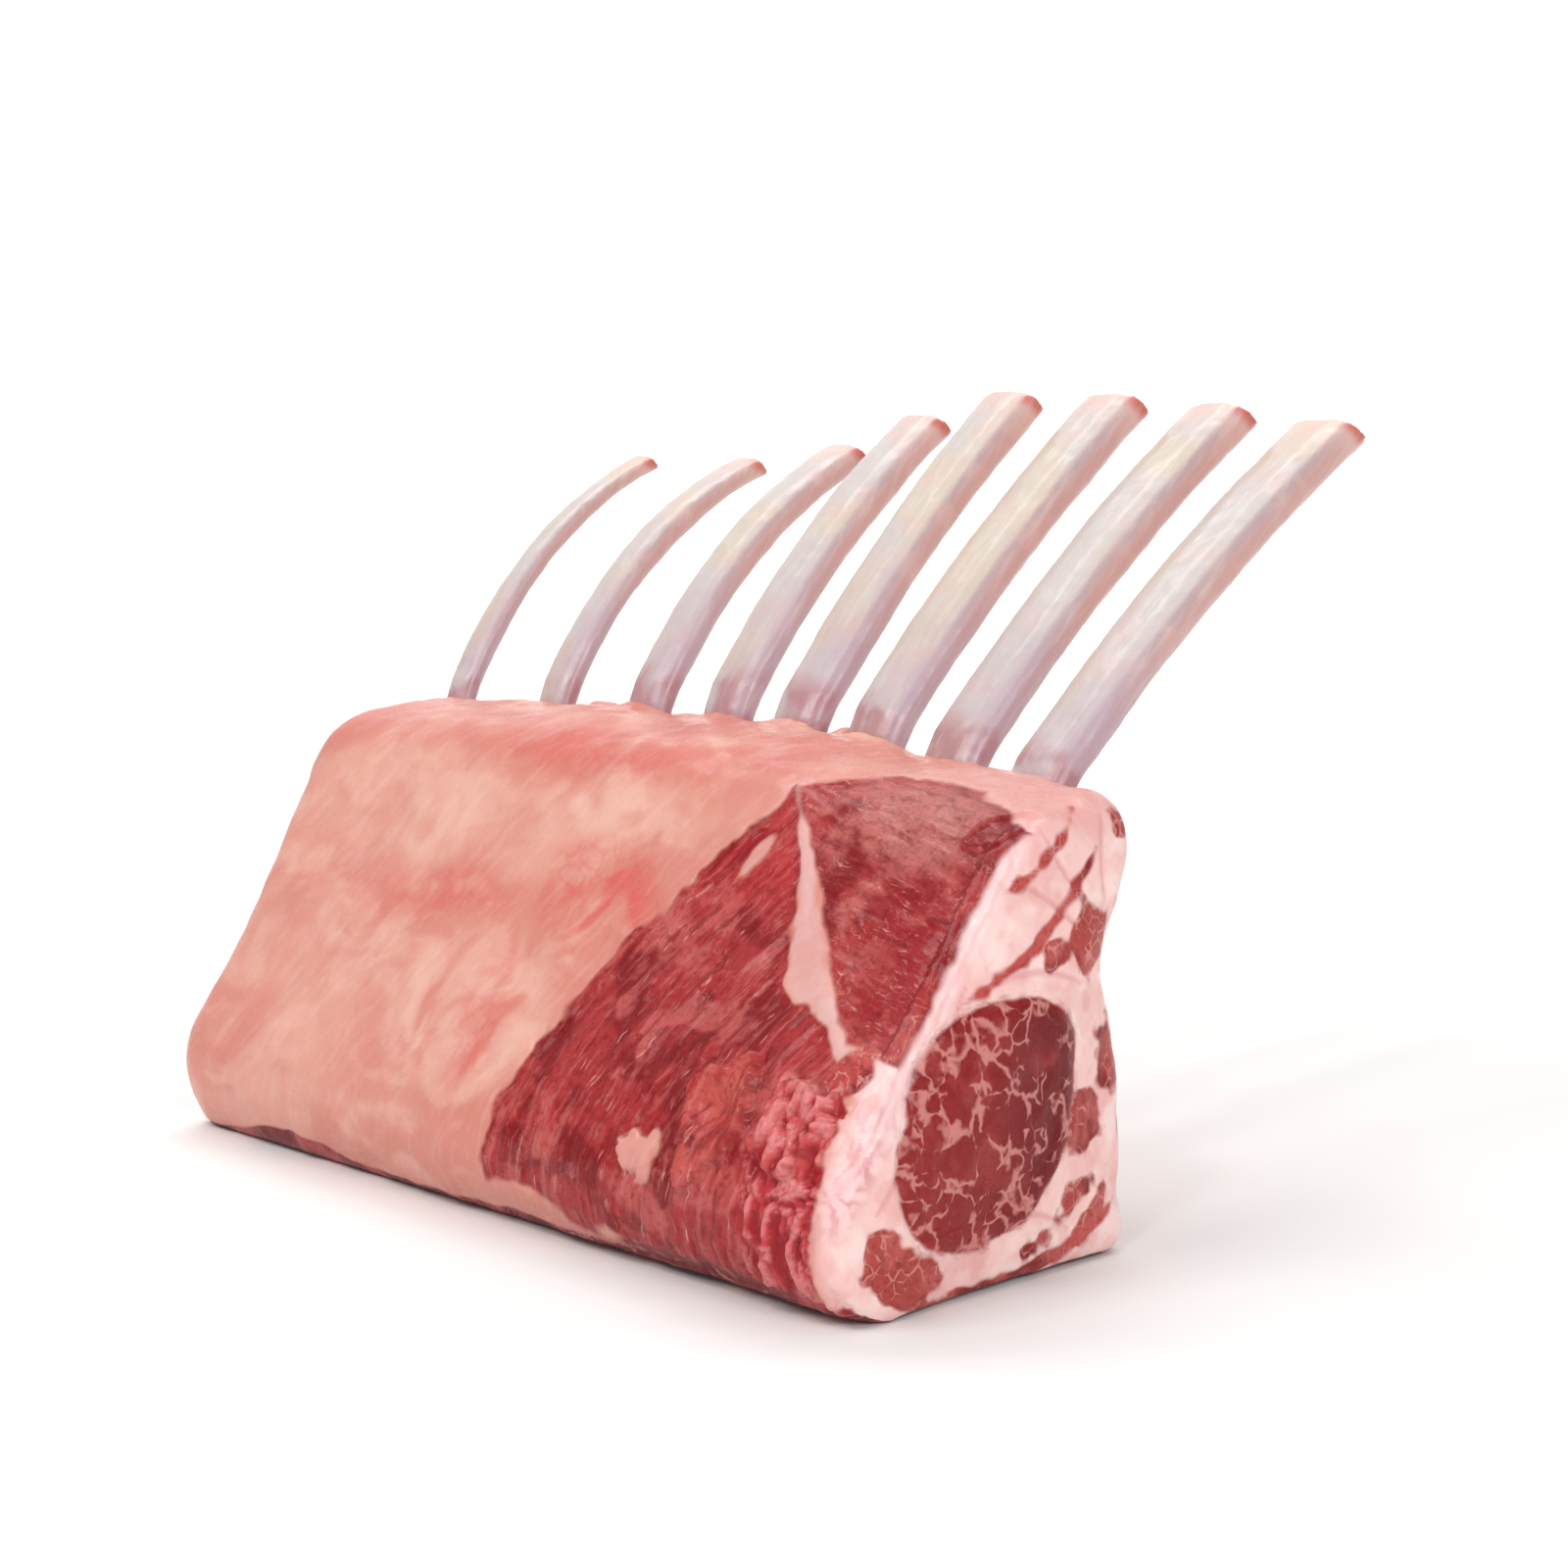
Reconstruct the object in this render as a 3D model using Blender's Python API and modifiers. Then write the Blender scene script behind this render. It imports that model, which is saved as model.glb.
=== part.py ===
"""Rack of lamb, cap on and frenched: eight long clean ribs standing out of one block of loin.

The block lies along X with its shoulder end at +X, its fat side at -Y and its rib side at +Y.
It stands on the flat of its loin, and the ribs lean out over the rib side.
Lengths are in millimetres until they reach Blender.
"""

import math

import bmesh
import bpy
from mathutils import Euler, Matrix, Vector

MM = 0.001
GAP = 0.3  # clearance kept between pieces that touch

# The block: what the butcher calls the rack, about as long as eight ribs and their gaps.
BLOCK_LENGTH = 225.0
RIDGE_RISE = 5.0  # how far the ridge stands higher half way along than at its ends
SHOULDER_RIM = 8.0  # rounding of the two cut ends
LOIN_RIM = 7.5
SHOULDER_DOME = 3.0  # the soft cut face bulges this far
OUTLINE_POINTS = 44


# A slice across the block. A pair holds a size at the shoulder end and at the loin end.
HEEL_REACH = (15.0, 6.0)  # how far the fat side bulges out past y = 0, low down
HEEL_HEIGHT = 20.0  # of that bulge above the ground
HEEL_ROUND = (16.5, 8.5)  # from the bulge in to where the base begins
FAT_SLOPE = (50.0, 58.0)  # degrees, how steeply the fat side rises over the bulge
FAT_KNOTS = 3
RIDGE_HEIGHT = (92.5, 96.0)
RIDGE_REACH = (36.0, 32.0)  # from the rib side across to the ridge's outer corner
RIDGE_DROP = 5.0  # how far the rounded outer corner lies below the ridge
RIB_SIDE = (70.5, 70.0)  # y of the rib side
LIP = 2.0  # how far the flesh stands out round the ribs where they leave the ridge
HOLLOW = 5.0  # depth of the hollow of the rib cage
HOLLOW_HEIGHT = 65.0
STUMP_HEIGHT = (46.0, 12.0)  # top and bottom of the backbone's stumps
BASE_EDGE = (1.5, 6.0)  # from the rib side in to the edge of the base

# The eye of the loin: one long muscle that runs from end to end, a rounded square that leans with the fat side.
EYE_MIDDLE = (27.0, 34.0)  # (y, z)
EYE_SIZE = (48.0, 48.0)  # across and up
EYE_SQUARENESS = 2.3
EYE_LEAN = 0.22  # across for each step up
EYE_POINTS = 30
EYE_TURN = math.radians(1.6)  # it lies a little askew, nearer the ribs at the loin end

# The cap muscle: a sheet of lean that shows on the fat side where the fat is cut away. It has four rounded
# corners, as (x, up the slope), and the side towards the loin bows out.
CAP_CORNERS = [(-3, 17), (-3, 117), (-55, 117), (-103, 17)]
CAP_ROUND = 14.0
CAP_BOW = 9.0
CAP_DEPTH = 5.0
CAP_POINTS = 40
SLOPE = math.radians(52.8)  # how steeply the fat side rises
SLOPE_FOOT = (-33.0, 0.0)  # (y, z) where that slope meets the ground

# The ribs. A pair holds a size at the shoulder end and at the loin end, and the ribs between run from one
# to the other: broad, nearly straight and close together at the shoulder, thin, curled and apart at the loin.
RIB_COUNT = 8
BROAD_RIBS = 4  # this many at the shoulder end are alike before they begin to turn into loin ribs
TURNING_RIBS = 3  # and this many further on they have turned
FIRST_RIB = 25.0  # from the shoulder cut to the middle of the nearest rib
RIB_GAP = (23.0, 37.0)  # from the middle of one rib to the next
RIB_HEIGHT = (96.0, 101.0)  # where a rib leaves the ridge
RIB_ARCH = 7.0  # how much higher than that the middle ribs leave it
RIB_SLOPE = (43.0, 60.0)  # degrees, where a rib leaves the ridge
RIB_CURL = (13.0, 42.0)  # degrees by which that slope has eased off at the tip
CLEAN_LENGTH = (116.0, 88.0)  # scraped length past the ridge
LENGTH_STEP = 6.5  # how much shorter each rib is than the last, until it is as short as at the loin
RIDGE_WIDTH = (16.5, 8.5)
TIP_WIDTH = (18.0, 8.0)
RIB_THICKNESS = (8.8, 5.2)
SPLAY = 5.0  # the tips of the end ribs lean this far along X, away from the middle ones
RIDGE_Y = 74.5  # where the ribs leave the block
CHINE_END = (66.0, 34.0)  # (y, z) of the ribs' lower ends, just under the rib side's surface
CHINE_PULL = (3.0, 24.0)  # (y, z) by which the set-in stretch starts upwards from there
RIDGE_PULL = 12.0  # length over which it takes on the rib's slope at the ridge
BURIED_STEPS = 8
CLEAN_STEPS = 9
RIB_SIDES = 12
RIB_SQUARENESS = 2.7  # 2 is an ellipse, more is nearer a rounded rectangle
CHINE_SHARE = 0.8  # share of its size at the ridge that a rib keeps at its lower end
TIP_ROUNDING = 0.6


def clear_scene():
    for old in list(bpy.data.objects):
        bpy.data.objects.remove(old)


def collection(name):
    made = bpy.data.collections.new(name)
    bpy.context.scene.collection.children.link(made)
    return made


def material(name, colour, roughness):
    made = bpy.data.materials.new(name)
    made.use_nodes = True
    shader = made.node_tree.nodes["Principled BSDF"]
    shader.inputs["Base Color"].default_value = (*colour, 1.0)
    shader.inputs["Roughness"].default_value = roughness
    shader.inputs["Metallic"].default_value = 0.0
    return made


def between(pair, share):
    return pair[0] + (pair[1] - pair[0]) * share


def closed_spline(points, count):
    """count points along the smooth closed curve through the given ones."""
    total = len(points)
    curve = []
    for i in range(count):
        place = i * total / count
        k = int(place)
        t = place - k
        p0, p1, p2, p3 = (Vector(points[(k + j) % total]) for j in (-1, 0, 1, 2))
        curve.append(
            0.5 * (2 * p1 + (p2 - p0) * t + (2 * p0 - 5 * p1 + 4 * p2 - p3) * t**2
                   + (3 * p1 - p0 - 3 * p2 + p3) * t**3)
        )
    return curve


def grown(outline, distance):
    """A closed outline moved outwards by a distance, or inwards where it is negative."""
    total = len(outline)
    area = sum(outline[i - 1].cross(outline[i]) for i in range(total))
    outward = 1.0 if area > 0 else -1.0
    moved = []
    for i, point in enumerate(outline):
        along = (outline[(i + 1) % total] - outline[i - 1]).normalized()
        moved.append(point + Vector((along.y, -along.x)) * distance * outward)
    return moved


def link(name, data, owner, finish=None):
    made = bpy.data.objects.new(name, data)
    owner.objects.link(made)
    if finish:
        data.materials.append(finish)
    return made


def loft(name, rings, owner, finish=None):
    """A closed solid through rings of equal length, each a list of points in millimetres."""
    mesh = bmesh.new()
    loops = [[mesh.verts.new(Vector(p) * MM) for p in ring] for ring in rings]
    for one, other in zip(loops, loops[1:]):
        for i in range(len(one)):
            mesh.faces.new((one[i - 1], one[i], other[i], other[i - 1]))
    mesh.faces.new(loops[0])
    mesh.faces.new(list(reversed(loops[-1])))
    bmesh.ops.recalc_face_normals(mesh, faces=mesh.faces)
    data = bpy.data.meshes.new(name)
    mesh.to_mesh(data)
    mesh.free()
    return link(name, data, owner, finish)


def curve(name, points, closed, radii=None):
    """A poly line through (x, y) points in millimetres, in the plane of its object."""
    data = bpy.data.curves.new(name, "CURVE")
    data.dimensions = "2D"
    spline = data.splines.new("POLY")
    spline.points.add(len(points) - 1)
    for i, (knot, point) in enumerate(zip(spline.points, points)):
        knot.co = (point[0] * MM, point[1] * MM, 0.0, 1.0)
        knot.radius = radii[i] if radii else 1.0
    spline.use_cyclic_u = closed
    return data


def solid_from(data, owner, place, finish=None):
    """Turns a curve into a closed mesh that stands where the curve's object would."""
    drawn = link(data.name + "_curve", data, owner)
    drawn.matrix_world = place
    bpy.context.view_layer.update()
    name = data.name
    mesh = bpy.data.meshes.new_from_object(drawn.evaluated_get(bpy.context.evaluated_depsgraph_get()))
    bpy.data.objects.remove(drawn)
    work = bmesh.new()
    work.from_mesh(mesh)
    bmesh.ops.remove_doubles(work, verts=work.verts, dist=0.01 * MM)
    bmesh.ops.recalc_face_normals(work, faces=work.faces)
    work.to_mesh(mesh)
    work.free()
    mesh.name = name
    mesh.materials.clear()
    made = link(name, mesh, owner, finish)
    made.matrix_world = place
    return made


def as_cutter(piece):
    piece.hide_render = True
    piece.display_type = "WIRE"
    return piece


def boolean(piece, cutter, operation):
    step = piece.modifiers.new(f"{operation.lower()}_{cutter.name}", "BOOLEAN")
    step.operation = operation
    step.object = cutter
    step.solver = "EXACT"


def place_at(x, y, z, turn=(0, 0, 0)):
    return Matrix.Translation(Vector((x, y, z)) * MM) @ Euler(turn).to_matrix().to_4x4()


def slice_knots(share):
    """The corners of a slice at a share of the block's length from the shoulder end, once round from the base."""
    side, ridge, reach = between(RIB_SIDE, share), between(RIDGE_HEIGHT, share), -between(HEEL_REACH, share)
    outer = Vector((side - between(RIDGE_REACH, share), ridge - RIDGE_DROP))
    rise = math.tan(math.radians(between(FAT_SLOPE, share)))
    low, high = STUMP_HEIGHT[1], STUMP_HEIGHT[0]
    knots = [
        (side - between(BASE_EDGE, share), 0),  # base, rib side
        (side / 2 - reach / 4 - 12, -1),  # middle of the base, cut off flat at z = 0
        (reach + between(HEEL_ROUND, share), -1),  # base, fat side
        (reach + RIDGE_DROP / 2, HEEL_HEIGHT / 3),  # heel
        (reach, HEEL_HEIGHT),  # bulge over the heel
    ]
    for i in range(1, FAT_KNOTS + 1):
        height = HEEL_HEIGHT + (outer.y - HEEL_HEIGHT) * i / (FAT_KNOTS + 1)
        knots.append((outer.x - (outer.y - height) / rise, height))
    knots += [
        outer,
        ((outer.x + side) / 2, ridge),
        (side - LIP / 2, ridge),  # inner corner, where the ribs come out
        (side + LIP, ridge - 2 * RIDGE_DROP),
        (side - HOLLOW, HOLLOW_HEIGHT),
        (side, high),
        (side + LIP * (1 - share), (high + low) / 2),
        (side + LIP / 2 - 5 * share, low),
    ]
    return [Vector(k) for k in knots]


def block_slice(share, inset=0.0):
    """Outline of the block at a share of its length from the shoulder end, drawn in towards its middle."""
    knots = slice_knots(share)
    ridge = max(p.y for p in knots)
    for p in knots:
        p.y += RIDGE_RISE * math.sin(math.pi * share) * max(0.0, p.y / ridge) ** 3
    outline = closed_spline(knots, OUTLINE_POINTS)
    for p in outline:
        p.y = max(p.y, 0.0)
    middle = sum(outline, Vector((0, 0))) / len(outline)
    outline = [p + (middle - p).normalized() * inset for p in outline]
    lift = min(p.y for p in outline)
    for p in outline:
        p.y -= lift * (1 - p.y / ridge)  # the soft meat settles back on the ground
    return outline


def block_rings():
    """Rings of the block from its shoulder end to its loin end, with both rims rounded over."""
    quarter = [(1 - math.sin(a), 1 - math.cos(a)) for a in map(math.radians, (0, 30, 60, 90))]
    places = [(-SHOULDER_RIM * back, SHOULDER_RIM * inset) for back, inset in reversed(quarter)]
    places += [(-BLOCK_LENGTH * i / 10, 0.0) for i in range(1, 10)]
    places += [(-BLOCK_LENGTH + LOIN_RIM * back, LOIN_RIM * inset) for back, inset in quarter]
    rings = [[(x, p.x, p.y) for p in block_slice(-x / BLOCK_LENGTH, inset)] for x, inset in places]
    return domed(rings[0], SHOULDER_DOME) + rings


def domed(rim, height):
    """Smaller and smaller rings inside a flat end, from the middle of its bulge to its rim."""
    middle = sum((Vector(p) for p in rim), Vector()) / len(rim)
    rings = []
    for share in (0.3, 0.65):
        bulge = Vector((height * (1 - share**2), 0, 0))
        rings.append([middle.lerp(Vector(p), share) + bulge for p in rim])
    return rings


def build_core(name, inset, owner):
    """The block without a skin of the given thickness, as a cutter."""
    rings = []
    for i in range(11):
        share = i / 10
        rings.append([(-BLOCK_LENGTH * share, p.x, p.y) for p in block_slice(share, inset)])
    return as_cutter(loft(name, rings, owner))


def build_prism(name, outline, length, owner, place, finish=None):
    """A flat outline given thickness to both sides of its plane."""
    data = curve(name, outline, closed=True)
    data.fill_mode = "BOTH"
    data.extrude = length / 2 * MM
    return solid_from(data, owner, place, finish)


def eye_outline():
    """A rounded square, as (y, z), that leans over."""
    outline = []
    for i in range(EYE_POINTS):
        angle = 2 * math.pi * i / EYE_POINTS
        c, s = math.cos(angle), math.sin(angle)
        up = EYE_SIZE[1] / 2 * math.copysign(abs(s) ** (2 / EYE_SQUARENESS), s)
        across = EYE_SIZE[0] / 2 * math.copysign(abs(c) ** (2 / EYE_SQUARENESS), c)
        outline.append(Vector((EYE_MIDDLE[0] + across + EYE_LEAN * up, EYE_MIDDLE[1] + up)))
    return outline


def cap_outline():
    """The cap muscle's corners rounded off, with its side towards the loin bowed."""
    corners = [Vector(c) for c in CAP_CORNERS]
    knots = []
    for i, corner in enumerate(corners):
        for other in (corners[i - 1], corners[(i + 1) % len(corners)]):
            knots.append(corner + (other - corner).normalized() * CAP_ROUND)
    top, foot = corners[2], corners[3]
    along = (foot - top).normalized()
    middle = (top + foot) / 2 + Vector((along.y, -along.x)) * CAP_BOW
    knots.insert(6, middle)
    return closed_spline(knots, CAP_POINTS)


def build_eye(name, extra, owner, finish=None):
    """The eye muscle's outline run through the block and out past both its ends."""
    outline = grown(eye_outline(), extra)
    upright = math.radians(90)
    middle = place_at(0, 0, 0, (upright, 0, upright - EYE_TURN)) @ place_at(0, 0, -BLOCK_LENGTH / 2)
    return build_prism(name, outline, BLOCK_LENGTH + 40.0, owner, middle, finish)


def build_slab(name, extra, owner):
    """The cap muscle's outline as a slab that lies along the fat side's slope, as a cutter."""
    outline = grown(cap_outline(), extra)
    return as_cutter(build_prism(name, outline, 32.0, owner, place_at(0, *SLOPE_FOOT, (SLOPE, 0, 0))))


def eased(share):
    """A smooth step from 0 to 1."""
    share = min(max(share, 0.0), 1.0)
    return share * share * (3 - 2 * share)


def rib_sizes():
    """Place and sizes of each rib, from the shoulder end to the loin end."""
    ribs = []
    x = -FIRST_RIB
    for k in range(RIB_COUNT):
        share = k / (RIB_COUNT - 1)
        turned = eased((k - BROAD_RIBS + 1) / TURNING_RIBS)
        slope = between(RIB_SLOPE, share)
        ribs.append({
            "x": x,
            "height": between(RIB_HEIGHT, share) + RIB_ARCH * math.sin(math.pi * share),
            "slope": slope,
            "tip_slope": slope - between(RIB_CURL, turned),
            "clean_length": max(CLEAN_LENGTH[0] - LENGTH_STEP * k, CLEAN_LENGTH[1]),
            "ridge_width": between(RIDGE_WIDTH, share**2),
            "tip_width": between(TIP_WIDTH, share**2),
            "thickness": between(RIB_THICKNESS, share**2),
            "drift": SPLAY * math.cos(math.pi * share),
        })
        x -= between(RIB_GAP, turned)
    return ribs


def rib_path(rib):
    """Centre line of a rib as (y, z) from the place where it leaves the ridge, lower end first."""
    ridge = Vector((0, rib["height"]))
    start = Vector(CHINE_END) - Vector((RIDGE_Y + rib["thickness"] / 2, 0))
    leaving = Vector((math.cos(math.radians(rib["slope"])), math.sin(math.radians(rib["slope"]))))
    upward = start + Vector(CHINE_PULL)
    arriving = ridge - leaving * RIDGE_PULL
    path = []
    for i in range(BURIED_STEPS):
        t = i / BURIED_STEPS
        path.append(start * (1 - t) ** 3 + upward * 3 * t * (1 - t) ** 2
                    + arriving * 3 * t**2 * (1 - t) + ridge * t**3)
    path.append(ridge)
    step = rib["clean_length"] / CLEAN_STEPS
    for i in range(CLEAN_STEPS):
        angle = math.radians(between((rib["slope"], rib["tip_slope"]), (i + 0.5) / CLEAN_STEPS))
        path.append(path[-1] + Vector((math.cos(angle), math.sin(angle))) * step)
    return path


def build_rib(name, rib, extra, owner, finish=None):
    """One rib: a flat rounded bar swept along its centre line, in a plane that stands across the block."""
    path = rib_path(rib)
    radii = []
    for i in range(len(path)):
        clean = max(0.0, (i - BURIED_STEPS) / CLEAN_STEPS)
        buried = max(0.0, 1 - i / BURIED_STEPS)
        radii.append(1 + (rib["tip_width"] / rib["ridge_width"] - 1) * clean - (1 - CHINE_SHARE) * buried)
    section = []
    for i in range(RIB_SIDES):
        angle = 2 * math.pi * (i + 0.5) / RIB_SIDES
        c, s = math.cos(angle), math.sin(angle)
        section.append((
            (rib["thickness"] / 2 + extra) * math.copysign(abs(s) ** (2 / RIB_SQUARENESS), s),
            (rib["ridge_width"] / 2 + extra) * math.copysign(abs(c) ** (2 / RIB_SQUARENESS), c),
        ))
    profile = link(name + "_section", curve(name + "_section", section, closed=True), owner)
    data = curve(name, path, closed=False, radii=radii)
    data.bevel_mode = "OBJECT"
    data.bevel_object = profile
    data.use_fill_caps = True
    upright = math.radians(90)
    turn = math.asin(rib["drift"] / rib["clean_length"])
    made = solid_from(data, owner, place_at(rib["x"], RIDGE_Y, 0, (upright, 0, upright - turn)), finish)
    bpy.data.objects.remove(profile)
    return made


def round_tips(piece):
    step = piece.modifiers.new("rounded_ends", "BEVEL")
    step.width = TIP_ROUNDING * MM
    step.segments = 1
    step.limit_method = "ANGLE"
    step.angle_limit = math.radians(60)


def centre_on_origin(pieces, guides):
    """Moves everything so that the origin is the middle of the whole object's footprint, on the ground."""
    bpy.context.view_layer.update()
    graph = bpy.context.evaluated_depsgraph_get()
    corners = [p.matrix_world @ Vector(c) for p in pieces for c in p.evaluated_get(graph).bound_box]
    low = Vector(map(min, *corners))
    high = Vector(map(max, *corners))
    shift = Vector((-(low.x + high.x) / 2, -(low.y + high.y) / 2, -low.z))
    for piece in pieces + guides:
        piece.matrix_world = Matrix.Translation(shift) @ piece.matrix_world


def main():
    clear_scene()
    rack = collection("rack_of_lamb")
    cutters = collection("cutters")
    fat = material("fat", (0.80, 0.50, 0.42), 0.45)
    lean = material("lean", (0.42, 0.06, 0.06), 0.40)
    bone = material("bone", (0.82, 0.66, 0.60), 0.40)

    block = loft("loin_block", block_rings(), rack, fat)
    whole = as_cutter(loft("whole_block", block_rings(), cutters))

    eye = build_eye("eye_muscle", 0.0, rack, lean)
    eye_hole = as_cutter(build_eye("eye_hole", GAP, cutters))
    boolean(eye, whole, "INTERSECT")
    boolean(block, eye_hole, "DIFFERENCE")

    cap = loft("cap_muscle", block_rings(), rack, lean)
    slab = build_slab("cap_slab", 0.0, cutters)
    core = build_core("cap_core", CAP_DEPTH, cutters)
    boolean(cap, slab, "INTERSECT")
    boolean(cap, core, "DIFFERENCE")
    pocket = build_slab("cap_pocket", GAP, cutters)
    pocket_core = build_core("cap_pocket_core", CAP_DEPTH + GAP, cutters)
    boolean(pocket, pocket_core, "DIFFERENCE")
    boolean(block, pocket, "DIFFERENCE")
    guides = [whole, eye_hole, slab, core, pocket, pocket_core]

    ribs = []
    for number, rib in zip(range(RIB_COUNT, 0, -1), rib_sizes()):
        bar = build_rib(f"rib_{number}", rib, 0.0, rack, bone)
        round_tips(bar)
        ribs.append(bar)
        socket = as_cutter(build_rib(f"rib_socket_{number}", rib, GAP, cutters))
        boolean(block, socket, "DIFFERENCE")
        guides.append(socket)

    for piece in ribs:
        piece.data.shade_smooth()
        piece.data.set_sharp_from_angle(angle=math.radians(40))
    centre_on_origin([block, eye, cap, *ribs], guides)


main()
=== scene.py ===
"""A raw, frenched rack of lamb with its cap on: the finish of its flesh and of its bones."""

import math

import bpy
import numpy as np
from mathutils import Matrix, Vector, noise
from mathutils.bvhtree import BVHTree


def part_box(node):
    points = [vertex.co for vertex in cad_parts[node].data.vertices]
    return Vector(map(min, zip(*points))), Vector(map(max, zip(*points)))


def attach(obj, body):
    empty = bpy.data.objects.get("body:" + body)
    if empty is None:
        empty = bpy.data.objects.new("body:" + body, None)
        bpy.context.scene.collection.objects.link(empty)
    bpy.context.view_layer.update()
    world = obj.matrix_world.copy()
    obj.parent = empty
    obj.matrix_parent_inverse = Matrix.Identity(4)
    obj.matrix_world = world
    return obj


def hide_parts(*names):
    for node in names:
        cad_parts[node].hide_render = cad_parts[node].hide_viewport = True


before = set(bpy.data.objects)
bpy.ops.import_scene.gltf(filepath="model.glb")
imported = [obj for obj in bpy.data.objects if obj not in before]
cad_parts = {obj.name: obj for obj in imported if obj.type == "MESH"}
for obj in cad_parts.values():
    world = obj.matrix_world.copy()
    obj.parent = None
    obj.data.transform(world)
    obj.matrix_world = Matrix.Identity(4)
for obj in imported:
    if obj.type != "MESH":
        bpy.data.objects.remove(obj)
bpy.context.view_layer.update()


# ---------------------------------------------------------------------------------------------------
# Camera: level with the ribs' roots, looking at the corner between the fat side and the shoulder end.
MM = 0.001
block_low, block_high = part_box("loin_block")
CUT_BULGE = 2.73  # the shoulder cut swells this far past the rim of its face
HEEL_BULGE = 14.64  # the fat side's heel stands this far out past the line where the slices are drawn from
# Places on the rack are measured in mm from here: x from the shoulder cut, y towards the ribs, z up.
corner = Vector((block_high.x - CUT_BULGE * MM, block_low.y + HEEL_BULGE * MM, 0.0))

AZIMUTH, ELEVATION = math.radians(45), math.radians(7.4)
DISTANCE = 0.53
FOCAL_LENGTH = 69.0
AIM = corner + Vector((-2, -26, 104)) * MM  # over the fat side, just above the near corner of the ridge
towards = Vector((math.sin(AZIMUTH) * math.cos(ELEVATION), -math.cos(AZIMUTH) * math.cos(ELEVATION),
                  math.sin(ELEVATION)))

lens = bpy.data.cameras.new("camera")
lens.lens = FOCAL_LENGTH
lens.sensor_width = 36.0
lens.clip_start = 0.01
camera = bpy.data.objects.new("camera", lens)
bpy.context.scene.collection.objects.link(camera)
camera.location = AIM + towards * DISTANCE
camera.rotation_euler = (-towards).to_track_quat("-Z", "Y").to_euler()
bpy.context.scene.camera = camera


# ---------------------------------------------------------------------------------------------------
# Floor and light: a plain white board under big soft lamps, as on a butcher's counter by a window.
def linear(hex_colour):
    """An sRGB hex colour as linear red, green, blue and alpha."""
    parts = [int(hex_colour[i:i + 2], 16) / 255 for i in (1, 3, 5)]
    return (*[p / 12.92 if p <= 0.04045 else ((p + 0.055) / 1.055) ** 2.4 for p in parts], 1.0)


def put(tree, kind, inputs, out=0, **settings):
    """Adds a shader node with its settings, sets or links its inputs, and gives one of its outputs."""
    made = tree.nodes.new("ShaderNode" + kind)
    for name, value in settings.items():
        setattr(made, name, value)
    for socket, value in inputs.items():
        if isinstance(value, bpy.types.NodeSocket):
            tree.links.new(value, made.inputs[socket])
        else:
            made.inputs[socket].default_value = value
    return made.outputs[out]


AWAY = Vector((-0.7071, 0.7071, 0.0))  # from the camera towards the wall
FLOOR_SIZE, WALL_HEIGHT, WALL_CURVE = 5.0, 3.0, 1.0  # metres
bpy.ops.object.select_all(action="DESELECT")
bpy.ops.mesh.primitive_plane_add(size=1.0, location=(0, 0, 0))
floor = bpy.context.object
floor.name = "floor"
floor.scale = (FLOOR_SIZE, FLOOR_SIZE, 1.0)
floor.rotation_euler.z = math.radians(45)
bpy.ops.object.transform_apply(location=True, rotation=True, scale=True)
bpy.ops.object.mode_set(mode="EDIT")
bpy.ops.mesh.select_all(action="DESELECT")
bpy.ops.object.mode_set(mode="OBJECT")
for edge in floor.data.edges:
    edge.select = all(floor.data.vertices[i].co.dot(AWAY) > 0.48 * FLOOR_SIZE for i in edge.vertices)
bpy.ops.object.mode_set(mode="EDIT")
bpy.ops.mesh.select_mode(type="EDGE")
bpy.ops.mesh.extrude_region_move(TRANSFORM_OT_translate={"value": (0, 0, WALL_HEIGHT)})
bpy.ops.object.mode_set(mode="OBJECT")
turn = floor.modifiers.new("turn", "BEVEL")
turn.width = WALL_CURVE
turn.segments = 16
bpy.ops.object.modifier_apply(modifier="turn")
bpy.ops.object.shade_smooth()
board = bpy.data.materials.new("painted_board")
board.use_nodes = True
board.node_tree.nodes["Principled BSDF"].inputs["Base Color"].default_value = linear("#f3f2f1")
board.node_tree.nodes["Principled BSDF"].inputs["Roughness"].default_value = 0.8
floor.data.materials.append(board)

world = bpy.data.worlds.new("studio")
bpy.context.scene.world = world
world.use_nodes = True
world.node_tree.nodes["Background"].inputs["Color"].default_value = (1.0, 1.0, 1.0, 1.0)
world.node_tree.nodes["Background"].inputs["Strength"].default_value = 0.42
bpy.context.scene.view_settings.view_transform = "Standard"

RACK = (0.0, -0.03, 0.06)  # what the lamps are aimed at
# name, place and aim in metres, size across, power in watts
for name, place, aim, size, power in (
    ("key", (-0.25, -1.10, 1.20), RACK, 0.6, 8.5),
    ("fill", (1.15, -0.40, 0.75), RACK, 0.5, 6.3),
    ("glint", (0.35, -0.75, 1.10), RACK, 0.10, 1.6),
    ("wall", (-0.70, 0.70, 1.80), (-1.6, 1.6, 0.3), 1.6, 36.0),
):
    glow = bpy.data.lights.new(name, "AREA")
    glow.size = size
    glow.energy = power
    lamp = bpy.data.objects.new(name, glow)
    bpy.context.scene.collection.objects.link(lamp)
    lamp.location = place
    lamp.rotation_euler = (Vector(aim) - Vector(place)).to_track_quat("-Z", "Y").to_euler()


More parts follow.
